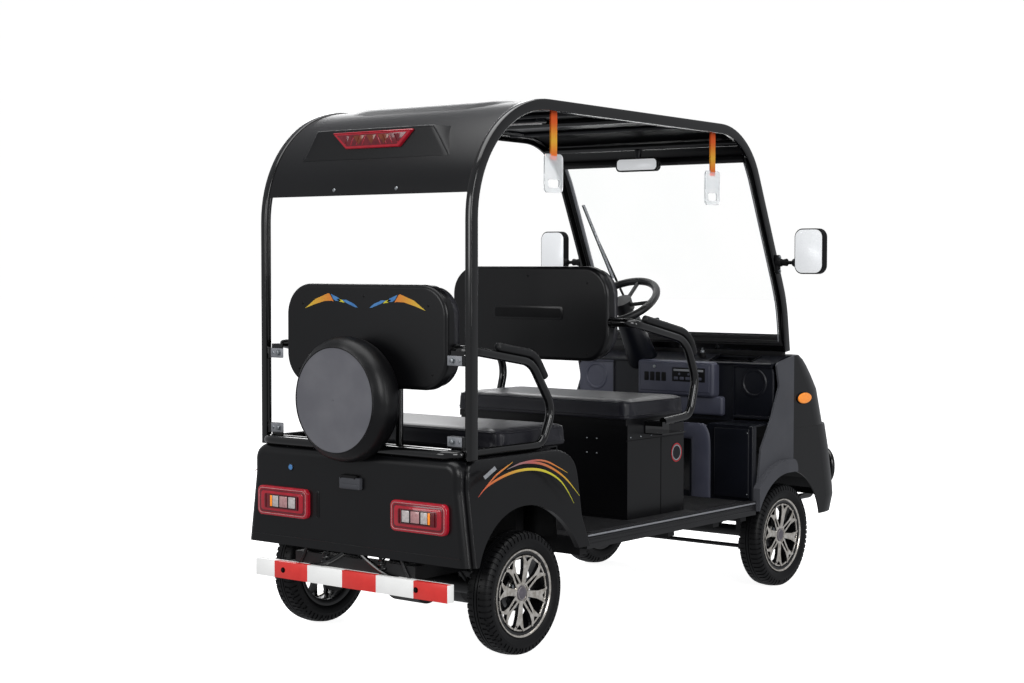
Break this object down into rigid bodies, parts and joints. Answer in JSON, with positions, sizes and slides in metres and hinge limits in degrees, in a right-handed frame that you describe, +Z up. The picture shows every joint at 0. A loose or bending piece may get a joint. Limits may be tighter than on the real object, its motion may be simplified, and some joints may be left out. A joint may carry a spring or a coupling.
{
  "type": "golf cart",
  "caption": "Small open-sided electric golf cart with bench rows front and rear, tube-framed roof, windscreen, covered spare wheel and striped rear bumper bar.",
  "frame": {"origin": "on the ground under the middle of the whole cart", "axes": "+Z up, -Y towards the cart's front, +X to the cart's own left"},
  "size_m": [1.37, 2.693, 1.8156],
  "materials": {
    "axle_paint": "satin black",
    "bar_paint": "red and white bands",
    "battery_case": "matt",
    "black_tube": "gloss black paint",
    "body_plastic": "satin black",
    "chassis_paint": "satin black paint",
    "clear_lens": "clear gloss",
    "cover_vinyl": "black vinyl",
    "dash_plastic": "grained blue-black",
    "floor_rubber": "ribbed mat",
    "grey_plastic": "grey",
    "mirror_shell": "gloss black",
    "nose_plastic": "gloss dark grey",
    "pad_foam": "matt foam",
    "pedal_rubber": "ribbed",
    "red_lens": "clear gloss",
    "rod_steel": "brushed",
    "screen_glass": "clear",
    "seat_vinyl": "satin vinyl",
    "shell_plastic": "satin black",
    "spring_steel": "gloss",
    "strap_webbing": "woven",
    "tyre_rubber": "matt",
    "wheel_alloy": "machined faces over black",
    "wheel_grip": "matt grip"
  },
  "bodies": {
    "cart": {"arm_pads": "pad_foam", "battery_block": "battery_case", "bumper_bar": "bar_paint", "chassis_frame": "chassis_paint", "column_shroud": "dash_plastic", "dashboard": "dash_plastic", "floor_pan": "floor_rubber", "front_arms": "black_tube", "front_axle": "axle_paint", "front_backrest_pad": "seat_vinyl", "front_backrest_shell": "shell_plastic", "front_cushion": "seat_vinyl", "front_hoop": "black_tube", "front_lamps": "clear_lens", "leg_shield": "dash_plastic", "lower_cowl": "nose_plastic", "mirrors": "mirror_shell", "pedals": "pedal_rubber", "rear_arm_frame": "black_tube", "rear_axle": "axle_paint", "rear_backrest_pad": "seat_vinyl", "rear_backrest_shell": "shell_plastic", "rear_cushion": "seat_vinyl", "rear_deck": "body_plastic", "rear_fenders": "body_plastic", "rear_lamps": "red_lens", "rear_panel": "body_plastic", "roof_frame": "black_tube", "roof_panel": "body_plastic", "seat_box": "body_plastic", "shocks": "spring_steel", "side_fairings": "grey_plastic", "sills": "body_plastic", "spare_cover": "cover_vinyl", "steering_gear": "axle_paint", "strap_handles": "strap_webbing", "upper_cowl": "nose_plastic", "windscreen": "screen_glass", "wiper": "black_tube"},
    "knuckle_left": {"knuckle_left": "axle_paint"},
    "knuckle_right": {"knuckle_right": "axle_paint"},
    "track_rod": {"track_rod": "rod_steel"},
    "pitman_arm": {"pitman_arm": "rod_steel"},
    "steering_wheel": {"steering_wheel": "wheel_grip"},
    "steering_shaft": {"steering_shaft": "rod_steel"},
    "wheel_fl": {"tyre_fl": "tyre_rubber", "rim_fl": "wheel_alloy"},
    "wheel_fr": {"tyre_fr": "tyre_rubber", "rim_fr": "wheel_alloy"},
    "wheel_rl": {"tyre_rl": "tyre_rubber", "rim_rl": "wheel_alloy"},
    "wheel_rr": {"tyre_rr": "tyre_rubber", "rim_rr": "wheel_alloy"}
  },
  "joints": [
    {"name": "steer_left", "type": "hinge", "parent": "cart", "child": "knuckle_left", "pos_m": [0.36, -0.6965, 0.203], "axis": [0, 0, 1], "range_deg": [-28, 28]},
    {"name": "steer_right", "type": "hinge", "parent": "cart", "child": "knuckle_right", "pos_m": [-0.36, -0.6965, 0.203], "axis": [0, 0, 1], "range_deg": [-28, 28]},
    {"name": "track_rod_pin", "type": "hinge", "parent": "knuckle_left", "child": "track_rod", "pos_m": [0.36, -0.5865, 0.161], "axis": [0, 0, 1], "range_deg": [-28, 28]},
    {"name": "pitman_turn", "type": "hinge", "parent": "cart", "child": "pitman_arm", "pos_m": [0.1847, -0.7565, 0.161], "axis": [0, 0, 1], "range_deg": [-28, 28]},
    {"name": "steering_wheel_turn", "type": "hinge", "parent": "cart", "child": "steering_wheel", "pos_m": [0.17, -0.5075, 1.122], "axis": [0, 0.5446, 0.8387], "range_deg": [-280, 280]},
    {"name": "steering_shaft_turn", "type": "hinge", "parent": "cart", "child": "steering_shaft", "pos_m": [0.1847, -0.7565, 0.33], "axis": [-0.0283, 0.1332, 0.9907], "range_deg": [-280, 280]},
    {"name": "front_left_spin", "type": "hinge", "parent": "knuckle_left", "child": "wheel_fl", "pos_m": [0.44, -0.6965, 0.203], "axis": [1, 0, 0], "continuous": true},
    {"name": "front_right_spin", "type": "hinge", "parent": "knuckle_right", "child": "wheel_fr", "pos_m": [-0.44, -0.6965, 0.203], "axis": [1, 0, 0], "continuous": true},
    {"name": "rear_left_spin", "type": "hinge", "parent": "cart", "child": "wheel_rl", "pos_m": [0.44, 0.9535, 0.203], "axis": [1, 0, 0], "continuous": true},
    {"name": "rear_right_spin", "type": "hinge", "parent": "cart", "child": "wheel_rr", "pos_m": [-0.44, 0.9535, 0.203], "axis": [1, 0, 0], "continuous": true}
  ],
  "couplings": [
    {"joint": "steer_right", "follows": "steer_left", "ratio": 1},
    {"joint": "track_rod_pin", "follows": "steer_left", "ratio": -1},
    {"joint": "pitman_turn", "follows": "steer_left", "ratio": 1},
    {"joint": "steering_wheel_turn", "follows": "steer_left", "ratio": 10},
    {"joint": "steering_shaft_turn", "follows": "steer_left", "ratio": 10}
  ]
}
